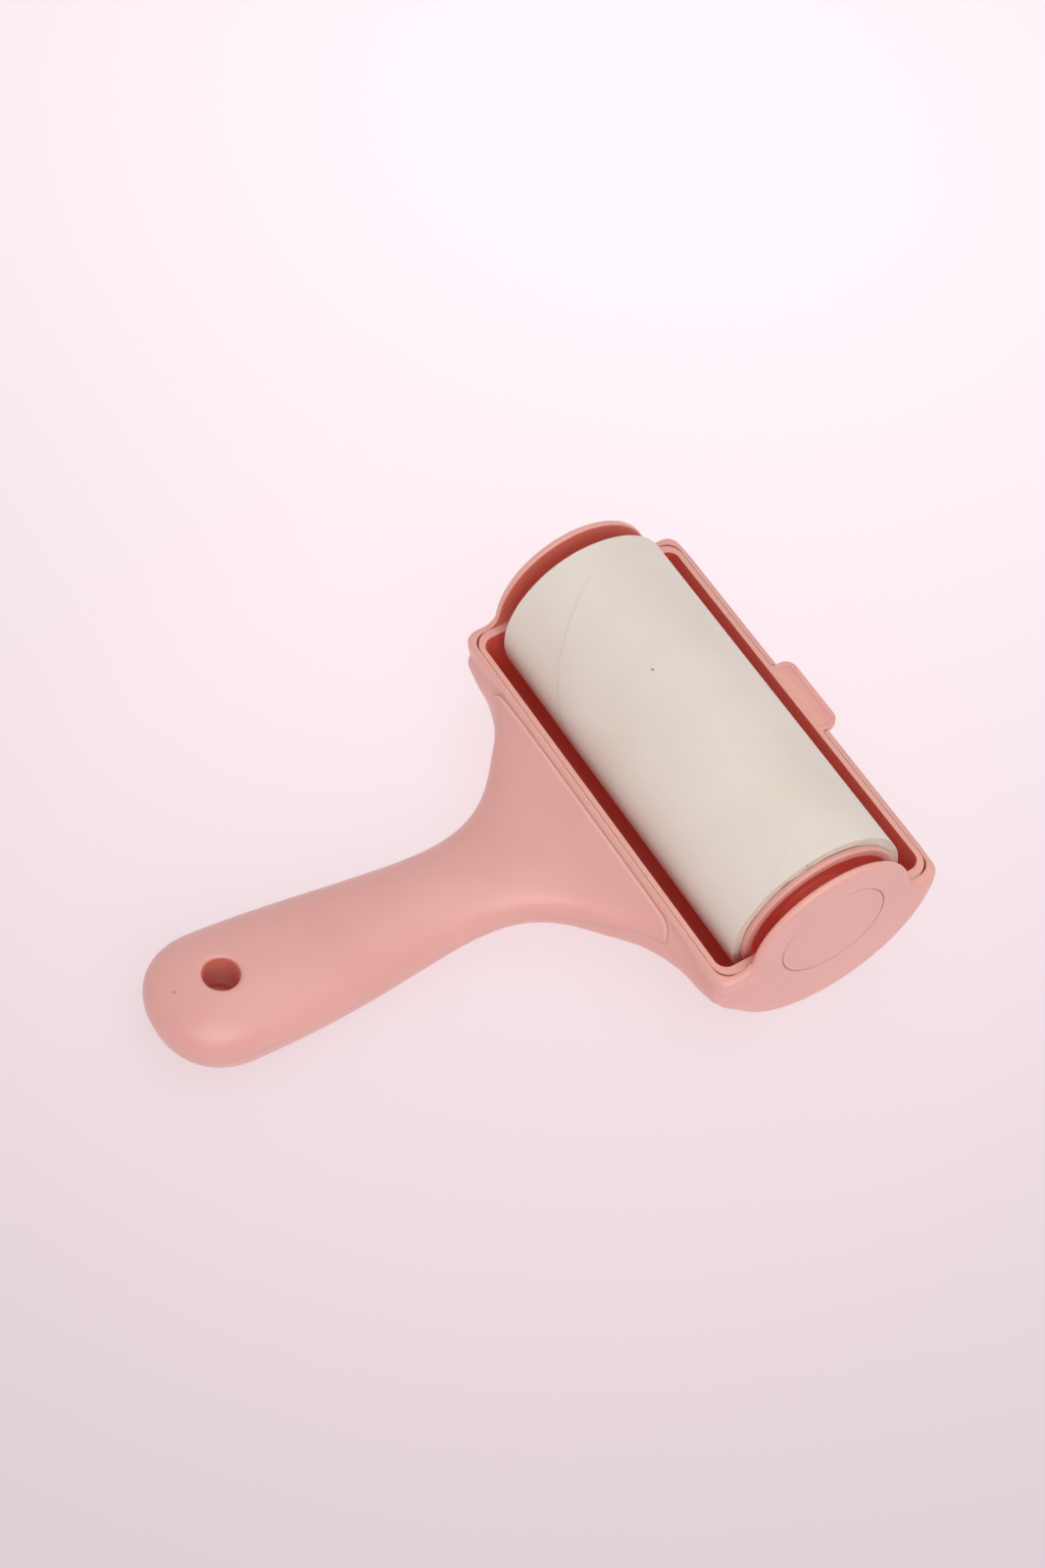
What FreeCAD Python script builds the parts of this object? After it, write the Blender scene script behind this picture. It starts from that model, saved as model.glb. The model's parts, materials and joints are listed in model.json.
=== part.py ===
import FreeCAD, Part
import math
import os
import re
import Sketcher

# Hand-held lint roller: a half-round head with two ears, a dust cover that turns over
# inside it, a paper roll on two hubs, and a handle of two shells.
#
# Every piece is modelled in the tool's own directions: X is the roll's axis, the handle
# points to -Y, and the head's rim lies in the plane Z = 0.  At the end the whole tool is
# tipped by rest_tilt, so that the round head and the underside of the handle both stand
# on Z = 0, and is centred over the origin.

DIMENSIONS = {
    # paper refill
    "roll_length": 100, "roll_radius": 22.7, "sheet_thickness": 0.2,
    "core_bore": 19, "core_radius": 20.2, "core_length": 99.6,
    # head: a half-round trough with an ear at each end, and a notch for the cover's tab
    "head_length": 114.6, "head_radius": 30.2, "head_corner": 4,
    "cavity_length": 110.6, "cavity_radius": 28.8, "cavity_corner": 3,
    "ear_radius": 21.3, "ear_fillet": 3, "notch_length": 22.4, "notch_depth": 1.9,
    # dust cover that turns inside the head
    "cover_length": 110, "cover_radius": 28.5, "cover_corner": 5,
    "cover_cavity_length": 106, "cover_cavity_radius": 27.4, "cover_cavity_corner": 3,
    "boss_radius": 11, "tab_length": 21.6, "tab_reach": 33.8, "tab_thickness": 1.5, "tab_corner": 3,
    # pivot caps, pressed into the ears from outside
    "pivot_radius": 6, "pivot_clearance": 0.06, "pivot_bore": 3.8, "pivot_length": 12,
    "cap_radius": 13.75, "cap_thickness": 1, "recess_clearance": 0.1,
    # hubs that carry the roll on the pivots
    "lip_radius": 20.6, "lip_bore": 18, "lip_height": 1.7, "lip_chamfer": 0.7,
    "skirt_radius": 18.95, "skirt_bore": 17.3, "skirt_depth": 12,
    "web_depth": 5.5, "web_thickness": 1.5, "hub_boss_radius": 9, "hub_boss_height": 2.4, "hub_boss_depth": 9,
    # handle shells and the hole to hang the tool by
    "shell_wall": 2, "seam_reach": 30.45, "seam_gap": 0.1,
    "hang_reach": 127.4, "hang_radius": 4.25, "hang_tube_radius": 6.4, "hang_edge": 1,
    "hang_joint": -2.6, "hang_lower_radius": 3.6, "hang_lower_length": 7.1, "hang_upper_length": 10.6,
    # how far the tool tips when it is put down, in degrees
    "rest_tilt": 8.6,
}

# Cross-sections of the handle, from inside the head's wall to the tip: reach along -Y,
# half width, top height, bottom height, and the radii of the top and bottom corners.
SECTION_SIZES = ("reach", "width", "top", "bottom", "crown", "keel")
HANDLE_SECTIONS = [
    (26.0, 52.0, -0.6, -15.0, 2.0, 12.0),
    (29.5, 50.5, -0.8, -17.0, 2.5, 13.0),
    (31.5, 44.6, -1.0, -18.6, 3.0, 14.0),
    (34.5, 37.4, -1.4, -19.0, 3.5, 13.2),
    (39.0, 29.2, -1.9, -19.0, 4.5, 12.0),
    (45.0, 21.8, -1.8, -18.6, 5.5, 10.6),
    (53.0, 15.4, -0.9, -17.6, 6.8, 9.5),
    (63.0, 12.5, 0.3, -16.7, 7.6, 8.0),
    (78.0, 12.6, 2.1, -16.6, 8.0, 8.0),
    (95.0, 14.4, 4.2, -15.9, 8.8, 8.8),
    (111.0, 16.0, 6.7, -13.7, 9.4, 9.4),
    (126.0, 16.4, 9.2, -11.2, 9.6, 9.6),
    (134.0, 14.4, 9.2, -9.2, 8.6, 8.6),
    (139.5, 10.4, 7.6, -6.2, 6.4, 6.4),
    (142.6, 5.6, 5.0, -2.6, 3.5, 3.5),
    (143.5, 2.2, 2.6, -0.2, 1.2, 1.2),
]
HOLLOW_SECTIONS = range(4, 14)

# Where the two handle shells meet, seen from the side: reach along -Y, and height.
PARTING_LINE = [(30.45, -3.4), (45, -5.4), (63, -7.6), (78, -7.4), (95, -5.8), (111, -3.5),
                (126, -1.0), (150, 2.6)]

doc = FreeCAD.newDocument("lint_roller")
sheet = doc.addObject("Spreadsheet::Sheet", "dims")
cells = dict(DIMENSIONS)
for number, section in enumerate(HANDLE_SECTIONS):
    for name, value in zip(SECTION_SIZES, section):
        cells[f"section_{name}_{number}_"] = value
for number, point in enumerate(PARTING_LINE):
    for name, value in zip(("reach", "height"), point):
        cells[f"parting_{name}_{number}_"] = value
for row, (alias, value) in enumerate(cells.items(), start=1):
    sheet.set(f"A{row}", str(value))
    sheet.setAlias(f"A{row}", alias)
doc.recompute()

UP = FreeCAD.Vector(0, 0, 1)


def bound(formula):
    """A formula over the sheet's aliases, in the form that setExpression takes."""
    return re.sub(r"[a-z]\w*", lambda word: f"dims.{word[0]}" if word[0] in cells else word[0], formula)


def value_of(formula):
    return float(sheet.evalExpression(bound(formula)))


# ------------------------------------------------------------ building blocks

def new_body(label):
    body = doc.addObject("PartDesign::Body", label)
    body.Label = label
    return body


def new_sketch(body, name, role, offset=None):
    """A sketch on one of the body's own origin planes, moved off it by a formula if one is given."""
    plane = next(item for item in body.Origin.OriginFeatures if item.Role == role)
    sketch = body.newObject("Sketcher::SketchObject", f"{body.Name}_{name}")
    sketch.AttachmentSupport = [(plane, "")]
    sketch.MapMode = "FlatFace"
    if offset:
        sketch.setExpression("AttachmentOffset.Base.z", bound(offset))
    return sketch


def drive(sketch, formula, kind, *places):
    """Add a sized constraint and bind it to the sheet."""
    index = sketch.addConstraint(Sketcher.Constraint(kind, *places, value_of(formula)))
    sketch.setExpression(f"Constraints[{index}]", bound(formula))


def pin(sketch, piece, end, across, up):
    """Hold one end of a piece at a place given by two formulas."""
    for kind, axis, formula in (("DistanceX", -2, across), ("DistanceY", -1, up)):
        if value_of(formula):
            drive(sketch, formula, kind, -1, 1, piece, end)
        else:
            sketch.addConstraint(Sketcher.Constraint("PointOnObject", piece, end, axis))


def centre_of_arc(here, there, radius, turn):
    """Centre of the shorter arc between two points, with turn 1 anticlockwise or -1 clockwise."""
    chord = math.dist(here, there)
    height = turn * math.sqrt(max(radius ** 2 - chord ** 2 / 4, 0)) / chord
    return ((here[0] + there[0]) / 2 - height * (there[1] - here[1]),
            (here[1] + there[1]) / 2 + height * (there[0] - here[0]))


def trace(sketch, corners):
    """A closed outline through corners given as formulas.

    A corner is (across, up), reached by a line, or (across, up, radius, turn), reached by an arc.
    """
    places = [(value_of(across), value_of(up)) for across, up, *_ in corners]
    pieces = []
    for here, there, (_, _, *arc) in zip(places[-1:] + places[:-1], places, corners):
        first, last = 1, 2
        if arc:
            radius = value_of(arc[0])
            centre = centre_of_arc(here, there, radius, arc[1])
            begin, finish = (here, there) if arc[1] > 0 else (there, here)
            angles = [math.atan2(point[1] - centre[1], point[0] - centre[0]) for point in (begin, finish)]
            if arc[1] < 0:
                first, last = 2, 1
            shape = Part.ArcOfCircle(Part.Circle(FreeCAD.Vector(*centre, 0), UP, radius), *angles)
        else:
            shape = Part.LineSegment(FreeCAD.Vector(*here, 0), FreeCAD.Vector(*there, 0))
        pieces.append((sketch.addGeometry(shape, False), first, last))
    for (piece, _, last), (following, first, _) in zip(pieces, pieces[1:] + pieces[:1]):
        sketch.addConstraint(Sketcher.Constraint("Coincident", piece, last, following, first))
    for (piece, _, last), (across, up, *arc) in zip(pieces, corners):
        pin(sketch, piece, last, across, up)
        if arc:
            drive(sketch, arc[0], "Radius", piece)


def add_circle(sketch, radius):
    """A circle about the sketch's origin."""
    piece = sketch.addGeometry(Part.Circle(FreeCAD.Vector(0, 0, 0), UP, value_of(radius)), False)
    sketch.addConstraint(Sketcher.Constraint("Coincident", piece, 3, -1, 1))
    drive(sketch, radius, "Radius", piece)


def extrude(body, kind, sketch, length, symmetric=False, reverse=False):
    """Pad or pocket a sketch. A pocket has to remove material."""
    doc.recompute()
    before = body.Shape.Volume if kind == "Pocket" else 0
    feature = body.newObject(f"PartDesign::{kind}", f"{sketch.Name}_{kind.lower()}")
    feature.Profile = sketch
    feature.SideType = "Symmetric" if symmetric else "One side"
    feature.Reversed = reverse
    feature.setExpression("Length", bound(length))
    doc.recompute()
    if kind == "Pocket" and not body.Shape.Volume < before - 0.01:
        raise RuntimeError(f"{feature.Name} removes nothing")


def turn_about_roll(body, kind, sketch, angle=360, reverse=False):
    """Revolve or groove a sketch about the roll's axis."""
    feature = body.newObject(f"PartDesign::{kind}", f"{sketch.Name}_{kind.lower()}")
    feature.Profile = sketch
    feature.ReferenceAxis = (sketch, ["H_Axis"])
    feature.Angle = angle
    feature.Reversed = reverse
    doc.recompute()


def round_edges(body, name, radius, chosen):
    """Fillet the edges of the body's tip that the test picks."""
    tip = body.Tip
    edges = [f"Edge{number}" for number, edge in enumerate(tip.Shape.Edges, start=1) if chosen(edge)]
    if not edges:
        raise RuntimeError(f"{body.Name}_{name} finds no edge to round")
    feature = body.newObject("PartDesign::Fillet", f"{body.Name}_{name}")
    feature.Base = (tip, edges)
    feature.setExpression("Radius", bound(radius))
    doc.recompute()


def is_circle(edge, radius):
    return edge.Curve.TypeId == "Part::GeomCircle" and abs(edge.Curve.Radius - value_of(radius)) < 0.001


def drum(prefix):
    """Corners of half a drum's section, rounded at its ends: round its outside from right to left."""
    half, radius, corner = f"{prefix}_length / 2", f"{prefix}_radius", f"{prefix}_corner"
    return [
        (half, "0"),
        (half, f"{radius} - {corner}"),
        (f"{half} - {corner}", radius, corner, 1),
        (f"{corner} - {half}", radius),
        (f"-{half}", f"{radius} - {corner}", corner, 1),
        (f"-{half}", "0"),
    ]


def backwards(corners):
    """The same outline traced the other way."""
    places = [corner[:2] for corner in corners][::-1]
    arcs = [()] + [corner[2:] for corner in corners][:0:-1]
    return [(*place, arc[0], -arc[1]) if arc else place for place, arc in zip(places, arcs)]


# ------------------------------------------------------------ paper refill

def tube(label, length, bore, radius):
    """A plain tube about the roll's axis."""
    body = new_body(label)
    ends = new_sketch(body, "ends", "YZ_Plane")
    add_circle(ends, bore)
    add_circle(ends, radius)
    extrude(body, "Pad", ends, length, symmetric=True)


tube("cardboard_core", "core_length", "core_bore", "core_radius")
tube("sheet_windings", "roll_length", "core_radius", "roll_radius - sheet_thickness")
tube("top_sheet", "roll_length", "roll_radius - sheet_thickness", "roll_radius")


# ------------------------------------------------------------ hubs and pivot caps

HUB = [
    ("roll_length / 2 - skirt_depth", "skirt_bore"),
    ("roll_length / 2 - skirt_depth", "skirt_radius"),
    ("roll_length / 2", "skirt_radius"),
    ("roll_length / 2", "lip_radius"),
    ("roll_length / 2 + lip_height", "lip_radius"),
    ("roll_length / 2 + lip_height", "lip_bore"),
    ("roll_length / 2 + lip_height - lip_chamfer", "skirt_bore"),
    ("roll_length / 2 - web_depth", "skirt_bore"),
    ("roll_length / 2 - web_depth", "hub_boss_radius"),
    ("roll_length / 2 + hub_boss_height", "hub_boss_radius"),
    ("roll_length / 2 + hub_boss_height", "pivot_radius + pivot_clearance"),
    ("roll_length / 2 - hub_boss_depth", "pivot_radius + pivot_clearance"),
    ("roll_length / 2 - hub_boss_depth", "hub_boss_radius"),
    ("roll_length / 2 - web_depth - web_thickness", "hub_boss_radius"),
    ("roll_length / 2 - web_depth - web_thickness", "skirt_bore"),
]

PIVOT_CAP = [
    ("head_length / 2", "0"),
    ("head_length / 2", "cap_radius"),
    ("head_length / 2 - cap_thickness", "cap_radius"),
    ("head_length / 2 - cap_thickness", "pivot_radius"),
    ("head_length / 2 - cap_thickness - pivot_length", "pivot_radius"),
    ("head_length / 2 - cap_thickness - pivot_length", "pivot_bore"),
    ("head_length / 2 - 2 * cap_thickness", "pivot_bore"),
    ("head_length / 2 - 2 * cap_thickness", "0"),
]

for side, sign in (("right", ""), ("left", "-")):
    for label, section in ((f"{side}_hub", HUB), (f"{side}_pivot_cap", PIVOT_CAP)):
        piece = new_body(label)
        sketch = new_sketch(piece, "section", "XY_Plane")
        trace(sketch, [(f"{sign}({across})", up) for across, up in section])
        turn_about_roll(piece, "Revolution", sketch)


# ------------------------------------------------------------ dust cover

cover = new_body("flip_cover")

# a half drum open along the rim, its end walls reaching the axis
shell = new_sketch(cover, "shell", "XY_Plane")
trace(shell, drum("cover") + backwards(drum("cover_cavity")))
turn_about_roll(cover, "Revolution", shell, angle=180, reverse=True)

# full discs round the pivots
for side, offset in (("right", "cover_cavity_length / 2"), ("left", "-cover_length / 2")):
    boss = new_sketch(cover, f"{side}_boss", "YZ_Plane", offset)
    add_circle(boss, "boss_radius")
    extrude(cover, "Pad", boss, "(cover_length - cover_cavity_length) / 2")

# thumb tab, level with the rim and reaching past the head's wall
tab = new_sketch(cover, "tab", "XY_Plane")
trace(tab, [
    ("tab_length / 2", "cover_cavity_radius"),
    ("tab_length / 2", "tab_reach - tab_corner"),
    ("tab_length / 2 - tab_corner", "tab_reach", "tab_corner", 1),
    ("tab_corner - tab_length / 2", "tab_reach"),
    ("-tab_length / 2", "tab_reach - tab_corner", "tab_corner", 1),
    ("-tab_length / 2", "cover_cavity_radius"),
])
extrude(cover, "Pad", tab, "tab_thickness", reverse=True)

bores = new_sketch(cover, "bores", "YZ_Plane")
add_circle(bores, "pivot_radius + pivot_clearance")
extrude(cover, "Pocket", bores, "head_length", symmetric=True)


# ------------------------------------------------------------ handle

def section_sketch(body, number, hollow):
    """One cross-section of the handle: a box with two large round corners above and two below."""
    inset = "shell_wall" if hollow else "0"
    reach, width, top, bottom, crown, keel = (f"section_{name}_{number}_" for name in SECTION_SIZES)
    width, top, bottom = f"{width} - {inset}", f"{top} - {inset}", f"{bottom} + {inset}"
    crown, keel = f"{crown} - {inset}", f"{keel} - {inset}"
    sketch = new_sketch(body, f"{'hollow' if hollow else 'outside'}_{number}", "XZ_Plane", reach)
    side, crown_height, keel_height = value_of(width), value_of(top), value_of(bottom)
    rounds = (value_of(crown), value_of(crown), value_of(keel), value_of(keel))
    levels = (crown_height, crown_height, keel_height, keel_height)
    # the four corner arcs, from the upper right one anticlockwise, and the lines between them
    starts, ends = [], []
    for quarter, (radius, level) in enumerate(zip(rounds, levels)):
        across = (1, -1, -1, 1)[quarter] * (side - radius)
        up = level + (-radius if quarter < 2 else radius)
        circle = Part.Circle(FreeCAD.Vector(across, up, 0), UP, radius)
        angle = quarter * math.pi / 2
        sketch.addGeometry(Part.ArcOfCircle(circle, angle, angle + math.pi / 2), False)
        starts.append(FreeCAD.Vector(across + radius * math.cos(angle), up + radius * math.sin(angle), 0))
        ends.append(FreeCAD.Vector(across - radius * math.sin(angle), up + radius * math.cos(angle), 0))
    for quarter in range(4):
        following = (quarter + 1) % 4
        line = sketch.addGeometry(Part.LineSegment(ends[quarter], starts[following]), False)
        sketch.addConstraint(Sketcher.Constraint("Tangent", quarter, 2, line, 1))
        sketch.addConstraint(Sketcher.Constraint("Tangent", line, 2, following, 1))
        sketch.addConstraint(Sketcher.Constraint("Vertical" if quarter % 2 else "Horizontal", line))
    top_line, left_line, bottom_line, right_line = 4, 5, 6, 7
    drive(sketch, width, "DistanceX", -1, 1, right_line, 1)
    drive(sketch, f"-({width})", "DistanceX", -1, 1, left_line, 1)
    drive(sketch, top, "DistanceY", -1, 1, top_line, 1)
    drive(sketch, bottom, "DistanceY", -1, 1, bottom_line, 1)
    drive(sketch, crown, "Radius", 0)
    drive(sketch, keel, "Radius", 2)
    sketch.addConstraint(Sketcher.Constraint("Equal", 0, 1))
    sketch.addConstraint(Sketcher.Constraint("Equal", 2, 3))
    return sketch


def loft(body, kind, numbers, hollow):
    sections = [section_sketch(body, number, hollow) for number in numbers]
    doc.recompute()
    feature = body.newObject(f"PartDesign::{kind}", f"{body.Name}_{'hollow' if hollow else 'outside'}_loft")
    feature.Profile = sections[0]
    feature.Sections = sections[1:]
    doc.recompute()


def side_of_parting(body, above, margin):
    """Cut the handle along the line where its shells meet, keeping the part below or above it."""
    sketch = new_sketch(body, "parting", "YZ_Plane")
    line = [(f"-parting_reach_{number}_", f"parting_height_{number}_ + {margin}")
            for number in range(len(PARTING_LINE))]
    last = f"-parting_reach_{len(PARTING_LINE) - 1}_"
    front = f"-(seam_reach + {margin})"
    line[0] = (front, line[0][1])
    if above:
        trace(sketch, line + [(last, "-head_radius"), ("head_radius", "-head_radius"),
                              ("head_radius", "head_radius"), (front, "head_radius")])
    else:
        trace(sketch, line + [(last, "head_radius"), (front, "head_radius")])
    extrude(body, "Pocket", sketch, "2 * head_length", symmetric=True)


def hang_sketch(body, name, radius):
    """A circle where the hanging hole's two tubes meet. The hole stands upright on a tool at rest."""
    sketch = new_sketch(body, name, "XY_Plane", "hang_joint")
    sketch.setExpression("AttachmentOffset.Base.y", bound("-hang_reach"))
    sketch.setExpression("AttachmentOffset.Rotation.Axis.x", "1")
    sketch.setExpression("AttachmentOffset.Rotation.Axis.y", "0")
    sketch.setExpression("AttachmentOffset.Rotation.Axis.z", "0")
    sketch.setExpression("AttachmentOffset.Rotation.Angle", bound("-rest_tilt"))
    add_circle(sketch, radius)
    return sketch


def is_hang_rim(edge):
    """True for the hanging hole's rim on the top of the handle."""
    box = edge.BoundBox
    across = 2 * value_of("hang_radius")
    return (box.ZMin > value_of("hang_joint") + value_of("hang_upper_length") / 2
            and abs(box.Center.x) < 0.1 and abs(box.XLength - across) < 0.2)


top_cover = new_body("handle_top_cover")
loft(top_cover, "AdditiveLoft", range(len(HANDLE_SECTIONS)), hollow=False)
loft(top_cover, "SubtractiveLoft", HOLLOW_SECTIONS, hollow=True)
side_of_parting(top_cover, above=True, margin="seam_gap")
extrude(top_cover, "Pad", hang_sketch(top_cover, "hang_tube", "hang_tube_radius"), "hang_upper_length")
hang_hole = hang_sketch(top_cover, "hang_hole", "hang_radius")
extrude(top_cover, "Pocket", hang_hole, "4 * hang_upper_length", reverse=True)
round_edges(top_cover, "hang_rim", "hang_edge", is_hang_rim)


# ------------------------------------------------------------ head and lower handle shell

head = new_body("head_frame")
loft(head, "AdditiveLoft", range(len(HANDLE_SECTIONS)), hollow=False)
loft(head, "SubtractiveLoft", HOLLOW_SECTIONS, hollow=True)
side_of_parting(head, above=False, margin="0")

# the trough's end outline: half round below the rim, an ear with concave feet above it
foot = "sqrt((ear_radius + ear_fillet) ^ 2 - ear_fillet ^ 2)"
ear_share = "ear_radius / (ear_radius + ear_fillet)"
trough = new_sketch(head, "trough", "YZ_Plane")
trace(trough, [
    ("-head_radius", "0"),
    ("0", "-head_radius", "head_radius", 1),
    ("head_radius", "0", "head_radius", 1),
    (foot, "0"),
    (f"{foot} * {ear_share}", f"ear_fillet * {ear_share}", "ear_fillet", -1),
    (f"-{foot} * {ear_share}", f"ear_fillet * {ear_share}", "ear_radius", 1),
    (f"-{foot}", "0", "ear_fillet", -1),
])
extrude(head, "Pad", trough, "head_length", symmetric=True)
round_edges(head, "corners", "head_corner", lambda edge: is_circle(edge, "head_radius")
            and abs(abs(edge.CenterOfMass.x) - value_of("head_length / 2")) < 0.001)

cavity = new_sketch(head, "cavity", "XY_Plane")
trace(cavity, drum("cavity"))
turn_about_roll(head, "Groove", cavity)

notch = new_sketch(head, "notch", "XY_Plane")
trace(notch, [
    ("notch_length / 2", "ear_radius"),
    ("notch_length / 2", "tab_reach"),
    ("-notch_length / 2", "tab_reach"),
    ("-notch_length / 2", "ear_radius"),
])
extrude(head, "Pocket", notch, "notch_depth")

pivots = new_sketch(head, "pivots", "YZ_Plane")
add_circle(pivots, "pivot_radius + pivot_clearance")
extrude(head, "Pocket", pivots, "2 * head_length", symmetric=True)
for side, offset, outward in (("right", "head_length / 2 - cap_thickness", False),
                              ("left", "cap_thickness - head_length / 2", True)):
    recess = new_sketch(head, f"{side}_recess", "YZ_Plane", offset)
    add_circle(recess, "cap_radius + recess_clearance")
    extrude(head, "Pocket", recess, "2 * cap_thickness", reverse=not outward)

lower_tube = hang_sketch(head, "lower_tube", "hang_tube_radius")
extrude(head, "Pad", lower_tube, "hang_lower_length", reverse=True)
lower_hole = hang_sketch(head, "lower_hole", "hang_lower_radius")
extrude(head, "Pocket", lower_hole, "3 * hang_lower_length")


# ------------------------------------------------------------ resting place, checks and files

pieces = [item for item in doc.Objects if item.TypeId == "PartDesign::Body"]
tipped = FreeCAD.Placement(FreeCAD.Vector(0, 0, 0), FreeCAD.Rotation(FreeCAD.Vector(1, 0, 0), value_of("rest_tilt")))
outside = FreeCAD.BoundBox()
for piece in pieces:
    piece.Placement = tipped
    outside.add(piece.Shape.optimalBoundingBox(False, False))
to_rest = FreeCAD.Placement(FreeCAD.Vector(0, -outside.Center.y, -outside.ZMin), FreeCAD.Rotation())
for piece in pieces:
    piece.Placement = to_rest.multiply(tipped)
doc.recompute()

failed = [item.Name for item in doc.Objects if {"Invalid", "Error"} & set(item.State)]
failed += [piece.Label for piece in pieces if piece.Shape.isNull() or not piece.Shape.isValid()]
if failed:
    raise RuntimeError(f"these objects failed: {failed}")

os.makedirs("parts", exist_ok=True)
for piece in pieces:
    piece.Shape.exportStep(f"parts/{piece.Label}.step")
    box = piece.Shape.BoundBox
    print(f"{piece.Label:18} {len(piece.Shape.Solids)} solid, {piece.Shape.Volume / 1000:7.2f} cm3, "
          f"{box.XLength:6.1f} x {box.YLength:6.1f} x {box.ZLength:6.1f}, lowest {box.ZMin:6.2f}")
print(f"whole tool {outside.XLength:.2f} x {outside.YLength:.2f} x {outside.ZLength:.2f} mm, "
      f"roll axis at Y {to_rest.Base.y:.3f}, Z {to_rest.Base.z:.3f}")
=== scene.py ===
import json
import math

import bpy
import numpy as np
from mathutils import Matrix, Vector


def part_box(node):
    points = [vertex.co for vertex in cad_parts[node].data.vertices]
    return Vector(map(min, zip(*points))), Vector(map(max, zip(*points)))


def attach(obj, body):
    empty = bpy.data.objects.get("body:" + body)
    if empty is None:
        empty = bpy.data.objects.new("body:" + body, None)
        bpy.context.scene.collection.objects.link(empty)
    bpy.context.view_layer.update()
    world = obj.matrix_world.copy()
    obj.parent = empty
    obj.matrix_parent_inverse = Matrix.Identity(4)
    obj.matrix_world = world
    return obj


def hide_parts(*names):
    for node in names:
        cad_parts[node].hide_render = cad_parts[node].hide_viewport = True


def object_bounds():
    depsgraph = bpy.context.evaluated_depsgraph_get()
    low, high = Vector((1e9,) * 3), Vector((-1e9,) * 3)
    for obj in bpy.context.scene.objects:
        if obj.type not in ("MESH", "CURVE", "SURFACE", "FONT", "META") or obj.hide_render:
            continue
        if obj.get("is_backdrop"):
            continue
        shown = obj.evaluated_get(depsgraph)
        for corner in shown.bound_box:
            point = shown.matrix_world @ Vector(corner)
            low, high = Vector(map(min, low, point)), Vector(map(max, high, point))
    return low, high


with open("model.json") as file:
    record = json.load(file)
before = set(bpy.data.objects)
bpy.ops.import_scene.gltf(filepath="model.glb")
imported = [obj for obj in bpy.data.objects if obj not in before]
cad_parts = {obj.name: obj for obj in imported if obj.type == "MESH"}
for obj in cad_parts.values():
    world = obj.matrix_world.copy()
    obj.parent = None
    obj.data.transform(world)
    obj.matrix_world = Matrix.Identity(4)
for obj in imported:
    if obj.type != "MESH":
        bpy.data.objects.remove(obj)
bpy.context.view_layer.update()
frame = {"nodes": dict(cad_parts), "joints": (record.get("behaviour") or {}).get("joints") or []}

# Every piece is shaped in the tool's own directions, in millimetres: X along the roll, the
# handle towards -Y, the head's rim in the plane Z = 0, and the roll's axis through the origin.
# to_row() then tips it as the tool rests and puts it where the frame has the roll's axis.
MM = 0.001
REST_TILT = math.radians(8.6)
ROLL_AXIS = np.array(frame["joints"][0]["pos_m"])
TIPPED = np.array(Matrix.Rotation(REST_TILT, 3, "X"))


def to_row(points):
    return np.asarray(points) @ TIPPED.T * MM + ROLL_AXIS


def half_size(node, axis):
    """Half of a CAD node's size along one axis, in mm, to the tenth that it was drawn to."""
    low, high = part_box(node)
    return round((high[axis] - low[axis]) / MM / 2, 1)


# ------------------------------------------------------------ sizes, in mm

ROLL_HALF, ROLL_RADIUS = half_size("top_sheet", 0), half_size("top_sheet", 2)
WOUND_RADIUS, CORE_RADIUS = half_size("sheet_windings", 2), half_size("cardboard_core", 2)
HUB_RADIUS = half_size("right_hub", 2)
PAPER_GAP, TUBE_GAP = 0.01, 0.05        # between the paper's layers, and between paper and board

# The tool lies on the head's round underside, so the head's radius is the height of the roll's axis.
HEAD_HALF, HEAD_RADIUS, HEAD_CORNER = half_size("head_frame", 0), round(ROLL_AXIS[2] / MM, 1), 4.0
CAVITY_HALF, CAVITY_RADIUS, CAVITY_CORNER = HEAD_HALF - 2.0, HEAD_RADIUS - 1.4, 3.7
EAR_RADIUS, EAR_FOOT = 21.3, 3.0
NOTCH_HALF, NOTCH_DEPTH = 11.2, 1.9
PIVOT_BORE = 6.06
RECESS_RADIUS, RECESS_DEPTH = 13.9, 1.0
HOLE_EDGE, EAR_EDGE = 0.5, 0.5

# Heights above the rim. The cavity's wall is two layers, because the trough's edges and the ears'
# edges are rounded in different ways: each layer steps aside by STEP_ASIDE where the other rules.
STEP_ASIDE = 2.0
EAR_WALL_UP, EAR_EDGE_UP, TROUGH_WALL_UP = (0.6, 1.6), (1.0, 3.0), (1.6, 2.6)

# Roundings of the head's edges. Each pair is where a rounding starts and ends its change: *_ALONG
# from the middle towards the ends, *_DOWN below the rim, *_BACK from the axis towards the handle.
WALL_EDGE, END_EDGE, EDGE_ALONG = 0.7, 1.3, (48, 55)
END_SLACK, END_EASE = 0.25, 0.8
NECK_EASE, NECK_BACK, NECK_DOWN = 2.6, (16, 26), (0, 6)
FILLET_TOP, FILLET_LOW, FILLET_DOWN = 0.6, 4.4, (2.0, 8.0)
FILLET_END, FILLET_END_ALONG, FILLET_END_DOWN = 2.0, (42, 50), (4.0, 10.0)

COVER_HALF, COVER_RADIUS, COVER_CORNER = CAVITY_HALF - 0.1, CAVITY_RADIUS - 0.09, 4.6
COVER_INSIDE_HALF, COVER_INSIDE_RADIUS, COVER_INSIDE_CORNER = COVER_HALF - 2.2, COVER_RADIUS - 1.31, 3.0
BOSS_RADIUS, BOSS_FOOT = 11.0, 2.0
TAB_HALF, TAB_REACH, TAB_THICKNESS, TAB_CORNER = 10.8, 33.8, 1.5, 3.0
TAB_ROOT = COVER_INSIDE_RADIUS + 0.3

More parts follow.
